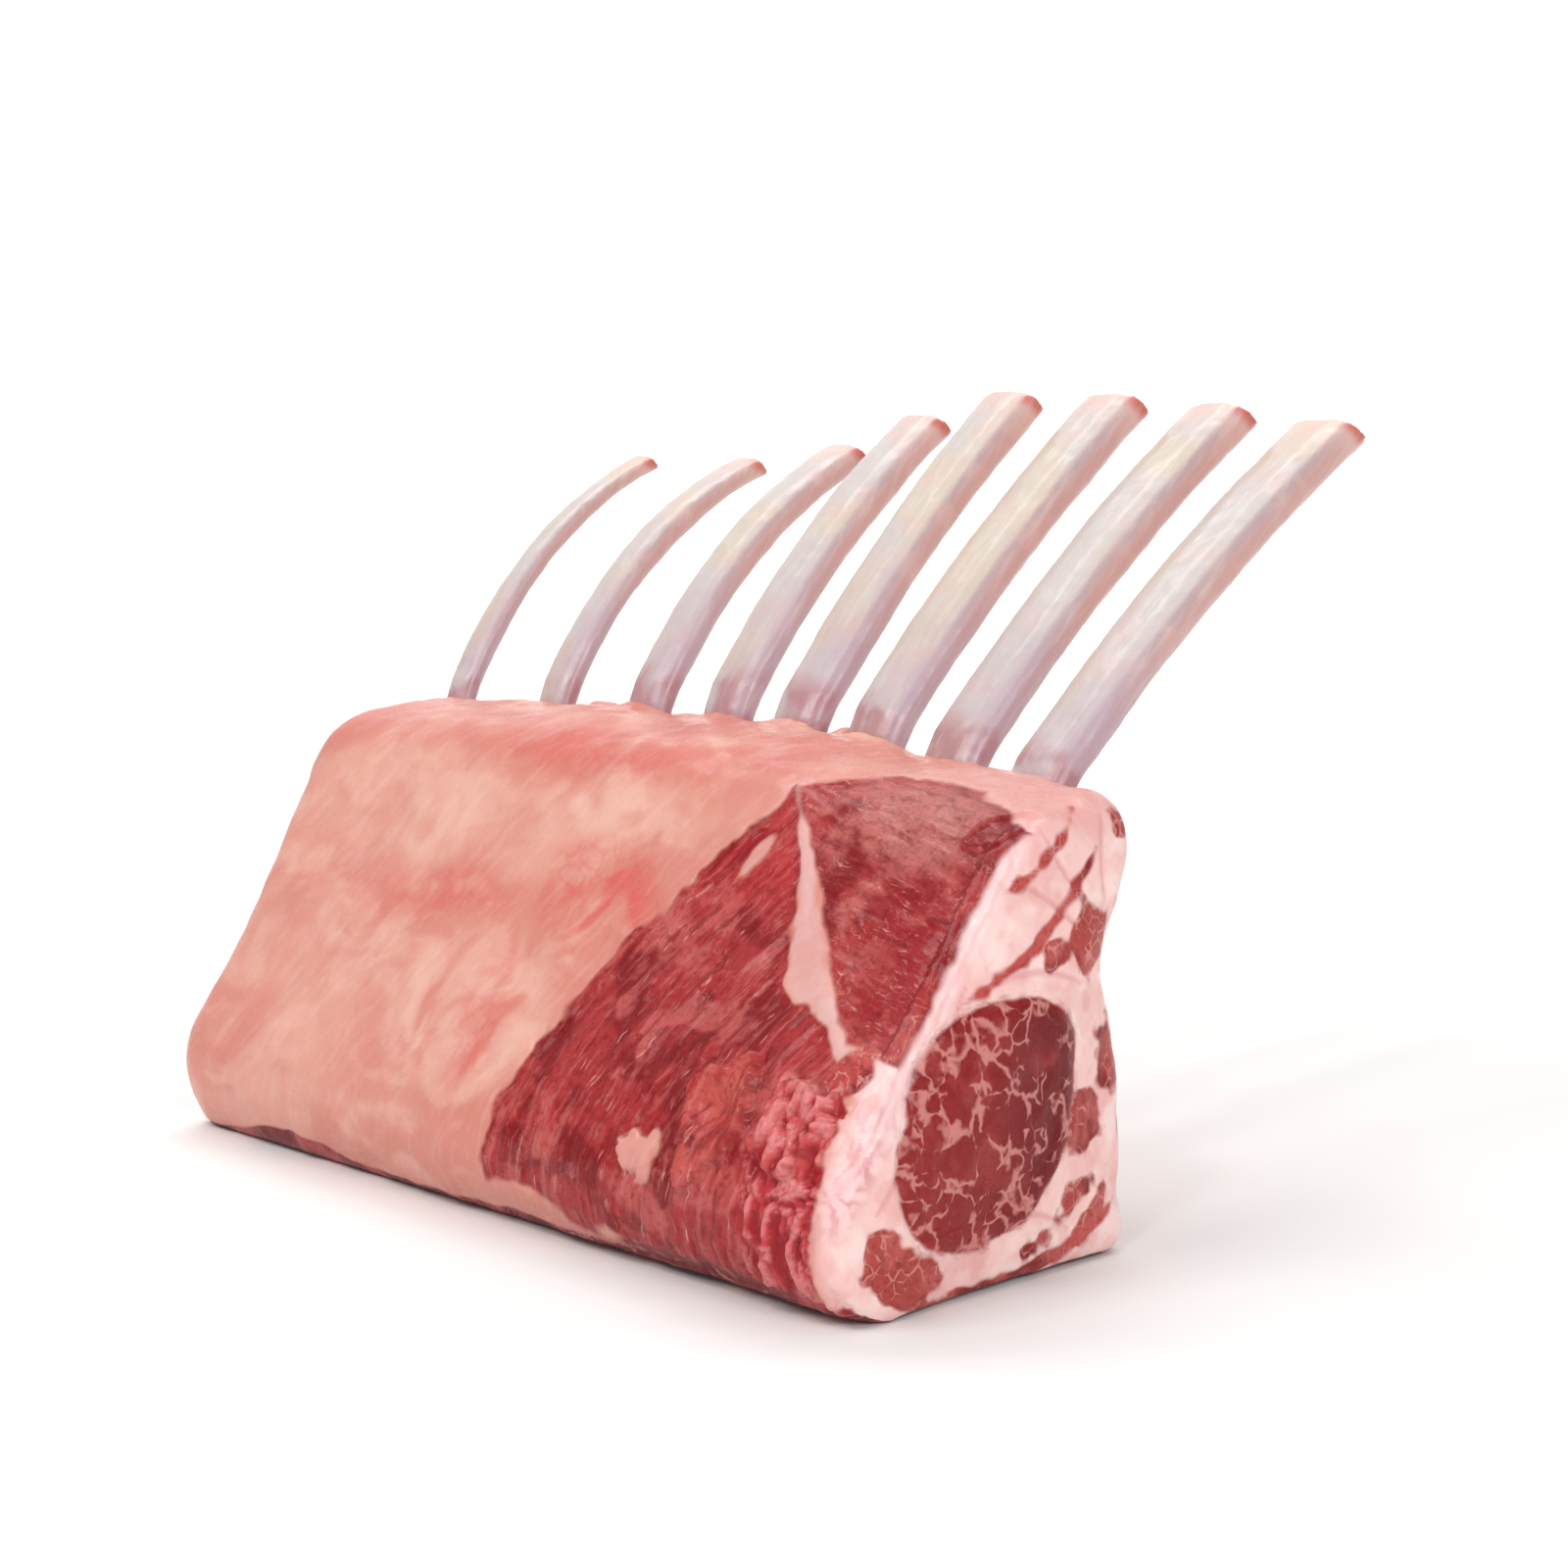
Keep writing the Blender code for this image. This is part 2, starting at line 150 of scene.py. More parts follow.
# ---------------------------------------------------------------------------------------------------
# The flesh: loin, cap muscle and their fat, cut from the carcass in one piece with the rib roots in it.
# It is one skin over the block, the eye and the cap, with the roots under their membrane.
SKIN_VOXEL = 1.4
OVERLAP = 0.2  # the block, the eye and the cap are swollen by this, so that they join up
MEMBRANE = 0.7  # thickness of the membrane over the roots
ROOT_CUT = -7.0  # the roots under it end this far past the ridge, so inside the flesh
# The ribs leave the ridge in a row. A pair holds a size at the shoulder end and at the loin end.
RIB_COUNT = 8
BROAD_RIBS = 4  # alike at the shoulder end, before they turn into loin ribs
TURNING_RIBS = 3
FIRST_RIB = 25.0  # from the shoulder cut to the nearest rib's middle
RIB_GAP = (23.0, 37.0)
RIB_HEIGHT = (96.0, 101.0)
RIB_ARCH = 7.0  # how much higher the middle ribs leave the ridge
RIB_SLOPE = (43.0, 60.0)  # degrees
RIB_CURL = (13.0, 42.0)  # degrees by which that slope has eased off at the tip
RIDGE_WIDTH = (16.5, 8.5)
ROOT_Y = 74.5


def ramp(value, low, high):
    """0 at low, 1 at high, and a smooth step between."""
    t = np.clip((value - low) / (high - low), 0.0, 1.0)
    return t * t * (3 - 2 * t)


def between(pair, share):
    return pair[0] + (pair[1] - pair[0]) * share


roots = {}  # for each rib: x, height, slope at the ridge and at the tip in degrees, and width
place_x = -FIRST_RIB
for k in range(RIB_COUNT):
    share, turned = k / (RIB_COUNT - 1), ramp(k, BROAD_RIBS - 1, BROAD_RIBS - 1 + TURNING_RIBS)
    slope = between(RIB_SLOPE, share)
    height = between(RIB_HEIGHT, share) + RIB_ARCH * math.sin(math.pi * share)
    roots[RIB_COUNT - k] = (place_x, height, slope, slope - between(RIB_CURL, turned),
                            between(RIDGE_WIDTH, share**2))
    place_x -= between(RIB_GAP, turned)


def root_cut(number, distance):
    """Place and direction of a cut across rib number, at a distance in mm past the ridge."""
    x, height, slope, *_ = roots[number]
    leaving = Vector((0, math.cos(math.radians(slope)), math.sin(math.radians(slope))))
    return corner + (Vector((x, ROOT_Y, height)) + leaving * distance) * MM, leaving


def copy_of(node, name):
    """A merged copy of a CAD node as a piece of its own, left open in edit mode with all of it selected."""
    bpy.ops.object.select_all(action="DESELECT")
    piece = bpy.data.objects.new(name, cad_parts[node].data.copy())
    piece.data.materials.clear()
    bpy.context.scene.collection.objects.link(piece)
    bpy.context.view_layer.objects.active = piece
    piece.select_set(True)
    bpy.ops.object.mode_set(mode="EDIT")
    bpy.ops.mesh.select_all(action="SELECT")
    bpy.ops.mesh.remove_doubles(threshold=0.00001)
    return piece


def apply_modifier(piece, kind, **settings):
    step = piece.modifiers.new(kind.lower(), kind)
    for name, value in settings.items():
        setattr(step, name, value)
    bpy.ops.object.modifier_apply(modifier=step.name)


shells = []
for node in ("loin_block", "eye_muscle", "cap_muscle"):
    shell = copy_of(node, node + "_shell")
    bpy.ops.transform.shrink_fatten(value=OVERLAP * MM)
    bpy.ops.object.mode_set(mode="OBJECT")
    shells.append(shell)
for number in range(1, RIB_COUNT + 1):
    shell = copy_of(f"rib_{number}", f"rib_{number}_shell")
    place, direction = root_cut(number, ROOT_CUT)
    bpy.ops.mesh.bisect(plane_co=place, plane_no=direction, use_fill=True, clear_outer=True)
    bpy.ops.mesh.select_all(action="SELECT")
    bpy.ops.transform.shrink_fatten(value=MEMBRANE * MM)
    bpy.ops.object.mode_set(mode="OBJECT")
    shells.append(shell)
# Scraps of fat and web are left half way between the roots, bigger where the gaps are wider.
rng = np.random.default_rng(5)
for number in range(2, RIB_COUNT + 1):
    (far_x, far_z, *_), (near_x, near_z, *_) = roots[number - 1], roots[number]
    spot = Vector(((far_x + near_x) / 2, ROOT_Y - 1, (far_z + near_z) / 2 - rng.uniform(6, 9)))
    bpy.ops.object.select_all(action="DESELECT")
    bpy.ops.mesh.primitive_ico_sphere_add(subdivisions=3, radius=MM, location=corner + spot * MM)
    shell = bpy.context.object
    shell.scale = ((near_x - far_x) / rng.uniform(4, 7), 3.5, rng.uniform(2, 4))
    bpy.ops.object.transform_apply(location=True, rotation=True, scale=True)
    shells.append(shell)
bpy.ops.object.select_all(action="DESELECT")
for shell in shells:
    shell.select_set(True)
flesh = shells[0]
bpy.context.view_layer.objects.active = flesh
bpy.ops.object.join()
flesh.name = "flesh"
apply_modifier(flesh, "REMESH", mode="VOXEL", voxel_size=SKIN_VOXEL * MM)
apply_modifier(flesh, "SMOOTH", factor=0.5, iterations=8)


def places_of(piece):
    """Each corner's place in mm from the rack's own corner."""
    flat = np.empty(len(piece.data.vertices) * 3)
    piece.data.vertices.foreach_get("co", flat)
    return (flat.reshape(-1, 3) - np.array(corner)) / MM


def normals_of(piece):
    flat = np.empty(len(piece.data.vertices) * 3, np.float32)
    piece.data.vertex_normals.foreach_get("vector", flat)
    return flat.reshape(-1, 3).astype(float)


def choose(piece, wanted):
    """Selects the faces whose corners are all wanted, and leaves the piece in edit mode."""
    chosen = [all(wanted[i] for i in face.vertices) for face in piece.data.polygons]
    piece.data.polygons.foreach_set("select", chosen)
    bpy.ops.object.mode_set(mode="EDIT")
    bpy.ops.mesh.select_mode(type="FACE")


# The cut face and the bared muscles show the finest detail, so their skin is twice as fine.
skin, facing = places_of(flesh), normals_of(flesh)
x, y, z = skin.T
bared = (x > -109) & (facing[:, 1] < 0.15) & (facing[:, 2] > -0.85)
cut_face = (x > -5) & (facing[:, 2] > -0.9)
bpy.ops.object.mode_set(mode="EDIT")
bpy.ops.mesh.select_all(action="DESELECT")
bpy.ops.object.mode_set(mode="OBJECT")
choose(flesh, bared | cut_face)
bpy.ops.mesh.subdivide(number_cuts=1)
bpy.ops.object.mode_set(mode="OBJECT")
apply_modifier(flesh, "SMOOTH", factor=0.5, iterations=5)


def bumps(places, size, seed, octaves=1, stretch=(1, 1, 1)):
    """Smooth noise from about -1 to 1 with bumps of a size in mm, on places in mm."""
    spots = (places / (np.array(stretch) * size) + seed * 17.3).tolist()
    if octaves == 1:
        return np.array([noise.noise(p) for p in spots]) * 1.6
    return np.array([noise.fractal(p, 1.0, 2.0, octaves) for p in spots]) * 1.6


def in_oval(u, v, middle, sizes, turn=0):
    """How far inside a turned oval each (u, v) is, in mm, from its middle, half sizes and turn in degrees."""
    c, s = math.cos(math.radians(turn)), math.sin(math.radians(turn))
    u, v = (u - middle[0]) * c + (v - middle[1]) * s, (v - middle[1]) * c - (u - middle[0]) * s
    return (1 - np.hypot(u / sizes[0], v / sizes[1])) * min(sizes)


def in_arc(u, v, start, end, sag, width):
    """How far inside a band each (u, v) is; it bows to its left by sag and tapers towards its ends."""
    run = np.subtract(end, start)
    length = np.hypot(*run)
    share = ((u - start[0]) * run[0] + (v - start[1]) * run[1]) / length**2
    off = ((v - start[1]) * run[0] - (u - start[0]) * run[1]) / length - 4 * sag * share * (1 - share)
    past = length * np.maximum(np.abs(share - 0.5) - 0.5, 0)
    return width / 2 * np.sqrt(np.clip(4 * share * (1 - share), 0.06, 1)) - np.hypot(off, past)


def wash(colours, hex_colour, amount):
    """Tints painted colours towards one, by an amount from 0 to 1 at each place."""
    amount = np.clip(amount, 0, 1)[:, None]
    return colours * (1 - amount) + np.array(linear(hex_colour)[:3]) * amount


skin, facing = places_of(flesh), normals_of(flesh)
x, y, z = skin.T
SLOPE = math.radians(52.8)  # how steeply the fat side rises, from 33 mm in front of the corner
up_slope = (y + 33) * math.cos(SLOPE) + z * math.sin(SLOPE)  # distance up it
under = 28 + y * math.sin(SLOPE) - z * math.cos(SLOPE)  # and depth under it
count = len(skin)
uneven = bumps(skin, 12.0, 32, 3)

# The fat side's lean: the border climbs from the foot towards the ridge, bowed a little outwards.
TOP, FOOT = (-62, 111), (-107, 25)  # the border's ends, as (x, up the slope)
fallen = np.clip((TOP[1] - up_slope) / (TOP[1] - FOOT[1]), -0.2, 1.3)
border = TOP[0] + (FOOT[0] - TOP[0]) * fallen - 5 * np.sin(np.pi * fallen)
# A seam parts the rear muscle from the front one. It runs down from the top to the cut, 39 degrees from
# upright, and the fat in it swells to a lens half way.
SEAM_TOP, SEAM_TURN = (-57, 112), math.radians(39.3)
seam_across = (x - SEAM_TOP[0]) * math.cos(SEAM_TURN) + (up_slope - SEAM_TOP[1]) * math.sin(SEAM_TURN)
seam_along = (x - SEAM_TOP[0]) * math.sin(SEAM_TURN) - (up_slope - SEAM_TOP[1]) * math.cos(SEAM_TURN)
lens_width = 1.3 + (6.5 + 2.5 * bumps(skin, 11.0, 42, 2)) * np.exp(-np.abs((seam_along - 39) / 17) ** 2.4)

# Where things lie on the fat side, as middle (x, up the slope), half sizes, turn in degrees and strength.
BLUSHES = [  # blood under the fat
    ((-101, 84), (17, 10), -12, 1.0), ((-122, 119), (28, 6.5), 0, 0.7), ((-150, 79), (22, 6), 5, 0.45),
    ((-77, 124), (12, 5), 10, 0.5), ((-119, 52), (6, 14), 15, 0.5),
]
CREAMS = [
    ((-113, 104), (21, 6), 0, 0.8), ((-126, 55), (24, 17), 0, 0.7), ((-162, 97), (14, 8), 20, 0.6),
    ((-176, 66), (18, 9), -20, 0.5),
]

# On the cut ends, as middle (y, z), half sizes and turn in degrees.
CUT_MUSCLES = [
    ((54.5, 66), (6, 7.5), -10), ((46.5, 64), (5.5, 2.8), 10), ((63, 42), (5.5, 8), 10),
    ((55, 29.5), (6.2, 6.5), -20), ((47, 11.5), (10, 2.4), 32), ((57.5, 10.5), (7, 2.2), 42),
    ((3, 9), (14, 6.5), -36), ((67, 88), (2.6, 2.6), 0),
]
CUT_STRIPS = [  # start, end, sag, width
    ((56, 92.5), (29, 77), 2.0, 1.5), ((58, 84), (19, 57.5), 3.0, 2.7), ((17, 2), (65, 12), -4.0, 3.4),
    ((66, 57), (68, 24), 4.5, 2.0),
]
LOIN_MUSCLES = [
    ((61, 42), (4, 13), 4), ((47, 9), (10, 2.2), 20), ((8, 14), (8, 3), -50), ((52, 72), (5, 3.5), 30),
]
LOIN_STRIPS = [((50, 90), (16, 56), 2.0, 2.6), ((18, 3), (56, 9), -2.5, 2.2)]

on_side = np.minimum(8 * (0.75 - ramp(facing[:, 1], -0.1, 0.5) - ramp(-facing[:, 2], 0.5, 0.95)), -(x + 0.6))
on_cut = (x + 4.2) * 2.0
on_loin = (-facing[:, 0] - 0.72) * 14
side = lambda *oval: np.minimum(in_oval(x, up_slope, *oval), on_side)

# How deep inside the eye each place on the cuts is, measured to the eye muscle's own sides.
walls = copy_of("eye_muscle", "eye_walls")
bpy.ops.object.mode_set(mode="OBJECT")
round_faces = [list(f.vertices) for f in walls.data.polygons if abs(f.normal.x) < 0.5]
tree = BVHTree.FromPolygons([v.co for v in walls.data.vertices], round_faces)
bpy.data.objects.remove(walls)
bpy.context.view_layer.objects.active = flesh
eye = np.full(count, -30.0)
for i in np.nonzero((x > -6) | (x < -214))[0]:
    spot = Vector(skin[i]) * MM + corner
    nearest, away, _, distance = tree.find_nearest(spot)
    eye[i] = -math.copysign(distance / MM, (spot - nearest).dot(away))
eye = np.minimum(eye + 0.5 * uneven, np.maximum(on_cut, on_loin))

# Lean: how deep inside a muscle each place is, its colour, and how marbled and how fibrous it is.
lean = np.full(count, -30.0)
red = np.tile(linear("#a8393b")[:3], (count, 1))
marbling = np.zeros(count)
fibrous = np.zeros(count)


def lay(area, colour, marbled, fibres):
    """Lays a muscle down in its area."""
    global lean, red, marbling, fibrous
    weight = ramp(area, -2.0, 0.3)
    lean = np.maximum(lean, area)
    red = wash(red, colour, weight)
    marbling = marbling * (1 - weight) + marbled * weight
    fibrous = fibrous * (1 - weight) + fibres * weight
    return area


notched = 2.2 * bumps(skin, 10.0, 34, 3)  # the knife left the border in steps
rear = lay(np.minimum.reduce([0.88 * (x - border) + notched, -seam_across - lens_width + 0.6 * uneven,
                              up_slope - 11 + 0.11 * x + uneven, -7 - x, on_side]), "#a83032", 0.12, 1.0)
top_edge = 125 - ((x + 30) / 9) ** 2
front = lay(np.minimum.reduce([seam_across - 0.8 + 0.4 * uneven, top_edge - up_slope + 0.5 * notched,
                               up_slope - 62 + uneven, -2.6 - x, on_side]), "#a83436", 0.2, 0.85)
lay(side((-10, 56.5), (4.5, 5)), "#bd4c48", 0.5, 0.5)
lay(eye, "#8f2325", 1.0, 0.1)
for oval in CUT_MUSCLES:
    lay(np.minimum(in_oval(y, z, *oval) + 1.6 * bumps(skin, 6.0, 35, 3), on_cut), "#b0453f", 0.6, 0.3)
for strip in CUT_STRIPS:
    lay(np.minimum(in_arc(y, z, *strip) + 0.7 * bumps(skin, 5.0, 44, 2), on_cut), "#c4524e", 0.3, 0.0)
for oval in LOIN_MUSCLES:
    lay(np.minimum(in_oval(y, z, *oval) + 0.8 * uneven, on_loin), "#a03336", 0.8, 0.15)
for strip in LOIN_STRIPS:
    lay(np.minimum(in_arc(y, z, *strip) + 0.3 * uneven, on_loin), "#a83a3c", 0.2, 0.0)
# Below, the loin lies bare, and a lens of it shows over the heel.
lay(np.minimum((-facing[:, 2] - 0.72) * 14, 40.0), "#74191c", 0.5, 0.35)
lay(np.minimum((6.0 * np.exp(-((x + 182) / 26) ** 2) - z) * 1.3, 3.0) - 20 * (facing[:, 1] > 0.2),
    "#74191c", 0.1, 0.3)

blood = bumps(skin, 13.0, 5, 3)
fade = bumps(skin, 9.0, 6, 3)
red = wash(red, "#801418", 0.85 * ramp(blood, 0.0, 0.55) * (1 - 0.6 * ramp(eye, -1, 1)))
red = wash(red, "#c45d59", 0.7 * ramp(fade, 0.05, 0.6) * (1 - 0.7 * ramp(eye, -1, 1)))
red = wash(red, "#b3262b", 0.7 * ramp(up_slope, 80, 100) * ramp(rear, 0, 3))
dull = ramp(-x - up_slope * 0.4, -20, 0) * ramp(fade, -0.5, 0.3)
red = wash(red, "#b9655f", 0.6 * dull * ramp(front, 0, 4))
red = wash(red, "#961e24", 0.7 * ramp(x + 0.2 * up_slope, -14, 4) * ramp(front, 0, 4))
red = wash(red, "#6b0d12", 0.9 * ramp(y - 0.1 * z, 20, 40) * ramp(eye, 0, 3) * ramp(blood, -1.0, 0.0))
red = wash(red, "#a23c39", 0.4 * ramp(-y + 0.4 * z, -5, 12) * ramp(eye, 0, 3))
torn = ramp(np.minimum.reduce([x + 29, 55 - up_slope, -3 - x, on_side]) + notched, -1.0, 5.0)
drift = np.stack([x + 0.3 * up_slope, 0.4 * up_slope - 0.1 * x, z * 0], axis=1)
drift += 3.0 * bumps(skin, 9.0, 31, 1)[:, None]
shreds = bumps(drift, 2.2, 7, 3)
flap = side((-39, 43), (8, 13), -8) + 0.7 * notched
red = wash(red, "#c9584f", 0.75 * ramp(flap, -0.5, 1.5) * ramp(shreds, -0.9, 0.2))
pink_flap = side((-18, 44), (8.5, 9.5), 0) + 0.7 * notched
red = wash(red, "#e59a8c", 0.75 * ramp(pink_flap, -2.5, 2.0) * ramp(shreds, -1.2, -0.1))
red = wash(red, "#c43a41", 0.8 * torn)
red = wash(red, "#e8908f", 0.7 * torn * ramp(shreds, 0.1, 0.5))
red = wash(red, "#97171f", 0.8 * torn * ramp(-shreds, 0.05, 0.4))
fibrous *= 1 - 0.7 * torn
skin_film = ramp(side((-23, 112), (18, 11), -14) + uneven, -4.0, 4.0)
wedge = ramp(side((-7, 112.5), (9, 4), 70) + 0.8 * uneven, -0.8, 0.8)
skin_film *= 1 - wedge
red = wash(red, "#bd7069", 0.8 * skin_film)
red = wash(red, "#86121b", 0.9 * wedge)
marbling *= 1 - 0.9 * wedge
marbling *= 1 - 0.6 * skin_film
marbling *= 1 - 0.45 * ramp(y - 0.1 * z, 22, 42) * ramp(eye, 0, 3)

# Fat: salmon with clouds of cream, blood under it in places, and paler where it is cut across.
drifted = skin + 9 * np.stack([bumps(skin, 30.0, seed, 2) for seed in (36, 37, 38)], axis=1)
fat = np.tile(linear("#d38879")[:3], (count, 1))
fat = wash(fat, "#dfa494", 0.75 * ramp(bumps(drifted, 36.0, 3, 3, (1.5, 1, 1)), -0.5, 0.6))
fat = wash(fat, "#cf8479", 0.4 * ramp(bumps(drifted, 20.0, 4, 3, (2.0, 1, 1)), 0.0, 0.8))
fat = wash(fat, "#eab8a7", 0.4 * ramp(bumps(drifted, 12.0, 39, 4, (2.2, 1, 1)), 0.1, 0.8))
for *oval, strength in CREAMS:
    cream = ramp(side(*oval), -6.0, 4.0) * ramp(bumps(drifted, 9, 8, 2), -0.8, 0.2)
    fat = wash(fat, "#e7b5a5", strength * cream)
blush = np.zeros(count)
for *oval, strength in BLUSHES:
    blush = np.maximum(blush, strength * ramp(side(*oval), -6.0, 4.0))
fat = wash(fat, "#d2605a", 0.9 * blush * ramp(bumps(drifted, 9.0, 9, 3, (1.8, 1, 1)), -0.7, 0.35))
pale = ramp(x, -8.0, -2.5)
pale = np.maximum(pale, ramp(on_loin, -1, 1))
fat = wash(fat, "#f8cbc6", pale)
fat = wash(fat, "#fee1dc", 0.7 * pale * ramp(bumps(skin, 11.0, 10, 2), -0.1, 0.5))
fat = wash(fat, "#e8a7a3", 0.45 * pale * ramp(bumps(skin, 7.0, 11, 3), 0.05, 0.6))
band = ramp(x, -8.0, -2.5) * ramp(under, 9.0, 5.0) * ramp(z, 12, 26)
fat = wash(fat, "#fbd3d3", 0.8 * band)
fat = wash(fat, "#cf6f74", 0.6 * band * ramp(z, 52, 26) * ramp(shreds, -0.1, 0.5))

seams = np.full(count, -9.0)
for arc in (  # where sheets of fat and gristle meet on the cut: start, end, sag, width
    ((21, 61), (-4, 22), 1.5, 0.9), ((52, 58), (20, 58), -4.0, 0.9), ((62, 90), (60, 74), -1.5, 0.8),
    ((34, 80), (52, 68), 1.0, 0.8), ((6, 14), (50, 9), 5.0, 0.9), ((44, 88), (52, 76), -1.0, 0.7),
):
    seams = np.maximum(seams, in_arc(y, z, *arc))
seams = np.minimum(seams, on_cut)
fat = wash(fat, "#dd9092", 0.55 * ramp(seams, -0.7, 0.2))

# Open flesh between the ribs on the inner side, under a membrane, over the row of sawn backbone stumps.
inner = ramp(facing[:, 1], 0.15, 0.6) * ramp(z, 4, 14) * ramp(-x, 1.0, 6.0)
bars = np.full(count, -30.0)
for place_x, *_, width in roots.values():
    bars = np.maximum(bars, np.minimum(width * 0.45 - np.abs(x - place_x), z - 35))
gaps = np.minimum(-bars - 1.2 + 1.2 * bumps(skin, 6.0, 12, 2), (inner - 0.5) * 16)
gaps = np.minimum(gaps, 88 - z + 3 * bumps(skin, 9.0, 13, 2))
web = lay(gaps, "#9f4046", 0.5, 0.4)
red = wash(red, "#c98d8e", 0.55 * ramp(web, -1, 2) * ramp(bumps(skin, 12.0, 14, 2), -0.2, 0.5))
stump = np.full(count, -30.0)
for place_x, *_ in roots.values():
    stump = np.maximum(stump, in_oval(x, z, (place_x, 27), (8, 10)))
stump = np.minimum(stump, (inner - 0.5) * 16)
lean = np.where(stump > -1.2, np.minimum(lean, -0.6 - stump), lean)
fat = wash(fat, "#e9c9c0", 0.9 * ramp(bars, -1.5, 0.8) * inner)
fat = wash(fat, "#f0dccb", ramp(stump, -0.8, 0.4))
fat = wash(fat, "#c98277", 0.85 * ramp(stump, 1.4, 2.6) * ramp(bumps(skin, 2.6, 15, 2), -0.7, 0.3))

fat_patch = side((-57.5, 33), (6.5, 5.0), 10) + 1.7 * bumps(skin, 5.5, 40, 3)
white_fleck = side((-62, 98), (5.5, 1.8), 65) + 0.6 * uneven
lens_patch = np.minimum.reduce([-seam_across - 0.6, seam_across + lens_width - 0.6, lens_width - 3.5])
lens_patch = np.minimum(lens_patch + 0.8 * bumps(skin, 4.5, 41, 3), on_side)
seam = ramp(np.minimum(rear, front) + 5.0, 0.0, 2.0) * ramp(-x, 6, 12)
fat = wash(fat, "#e0aea9", 0.9 * seam)
for patch, colour in ((lens_patch, "#dbaeac"), (fat_patch, "#d98f87"), (white_fleck, "#d39a96")):
    lean = np.minimum(lean, -patch)
    fat = wash(fat, colour, 0.9 * ramp(patch, -0.8, 0.8) * (0.8 + 0.2 * fade))
ridge_top = ramp(z, 84, 98) * ramp(-facing[:, 0], -0.5, 0.2)
fat = wash(fat, "#d0746a", 0.75 * ridge_top * ramp(-x, 30, 60) * ramp(bumps(skin, 15, 33, 2), -0.6, 0.3))
fat = wash(fat, "#e0a39d", 0.8 * ramp(z, 84, 92) * ramp(-x, 48, 22))
# The rear muscle's fibres follow its edge.
bundles_x = x - (0.18 * (up_slope - 24) + 0.0036 * (up_slope - 24) ** 2)
across = 0.89 * x - 0.46 * up_slope
along = 0.46 * x + 0.89 * up_slope
in_rear = (rear > -3) & (rear >= front)
in_front = (front > -3) & (front > rear)
across, along = np.where(in_rear, bundles_x, across), np.where(in_rear, up_slope, along)
across, along = np.where(in_front, up_slope + 0.25 * x, across), np.where(in_front, 2.6 * x, along)
ringed = pale > 0.5
across = np.where(ringed, np.where(band > 0.3, under, -eye), across)
along = np.where(ringed, up_slope, along)

# The form itself: fat is gently uneven, lean is a little shrunk and shows its bundles, flaps stand up.
bundle = bumps(np.stack([across, along * 0.1, np.zeros(count)], axis=1), 2.6, 16, 2)
in_lean = ramp(lean, -0.8, 0.8)
relief = (
    0.55 * bumps(skin, 26.0, 1, 2) + 0.22 * bumps(skin, 8.0, 2, 2)
    - 0.55 * ramp(np.maximum(rear, front), -1.6, 1.4) * ramp(-x, 3.0, 9.0)
    + 0.25 * bundle * in_lean * (0.35 + fibrous)
    + 0.04 * bundle * (1 - in_lean)
    + 2.8 * ramp(flap, -0.3, 0.6) * (1 - 0.8 * ramp(flap, 1, 7))
    + 2.6 * ramp(pink_flap, -0.3, 0.6) * (1 - 0.6 * ramp(pink_flap, 1, 7))
    + (1.2 + 0.9 * uneven) * ramp(fat_patch, -0.6, 1.4)
    + 0.9 * torn * shreds
    - 0.9 * ramp(wedge, 0.2, 0.9)
    - 0.3 * ramp(seams, -0.5, 0.3)
    + 0.3 * ramp(eye, -0.2, 2.0) - 0.35 * ramp(1.0 - np.abs(eye), 0.0, 1.0)
    - 0.5 * ramp(web, -0.5, 1.5) - 0.4 * ramp(0.9 - np.abs(stump), 0.0, 0.9)
    + 0.22 * band * np.cos(under * 2 * math.pi / 2.2 + 0.8 * shreds)
    + 0.3 * ramp(z, 88, 96) * bumps(skin, 7.0, 17, 3) * ramp(y, 45, 62)
)
relief *= ramp(z, 0.2, 3.0)
moved = skin + facing * relief[:, None]
moved[:, 2] = np.maximum(moved[:, 2], 0.0)
flesh.data.vertices.foreach_set("co", (moved * MM + np.array(corner)).astype(np.float32).ravel())
flesh.data.update()


def keep(piece, name, values, kind="FLOAT"):
    """Stores a value for each corner of a piece as an attribute, for its material to read."""
    layer = piece.data.attributes.new(name, kind, "POINT")
    if kind == "FLOAT_COLOR":
        values = np.hstack([np.clip(values, 0, 1), np.ones((len(values), 1))])
    slot = {"FLOAT": "value", "FLOAT_VECTOR": "vector", "FLOAT_COLOR": "color"}[kind]
    layer.data.foreach_set(slot, np.ascontiguousarray(values, np.float32).ravel())


keep(flesh, "fat_colour", fat, "FLOAT_COLOR")
keep(flesh, "lean_colour", red, "FLOAT_COLOR")
keep(flesh, "fibres", np.stack([across, along, np.zeros(count)], axis=1), "FLOAT_VECTOR")
cells = np.stack([y, z, x * 0.5], axis=1) * np.where(eye > -1, 0.75, 1.5)[:, None]
keep(flesh, "cells", cells, "FLOAT_VECTOR")
for name, values in (("lean", lean), ("marbling", marbling), ("netted", ringed * 1.0), ("fibrous", fibrous),
                     ("blush", blush)):
    keep(flesh, name, values)

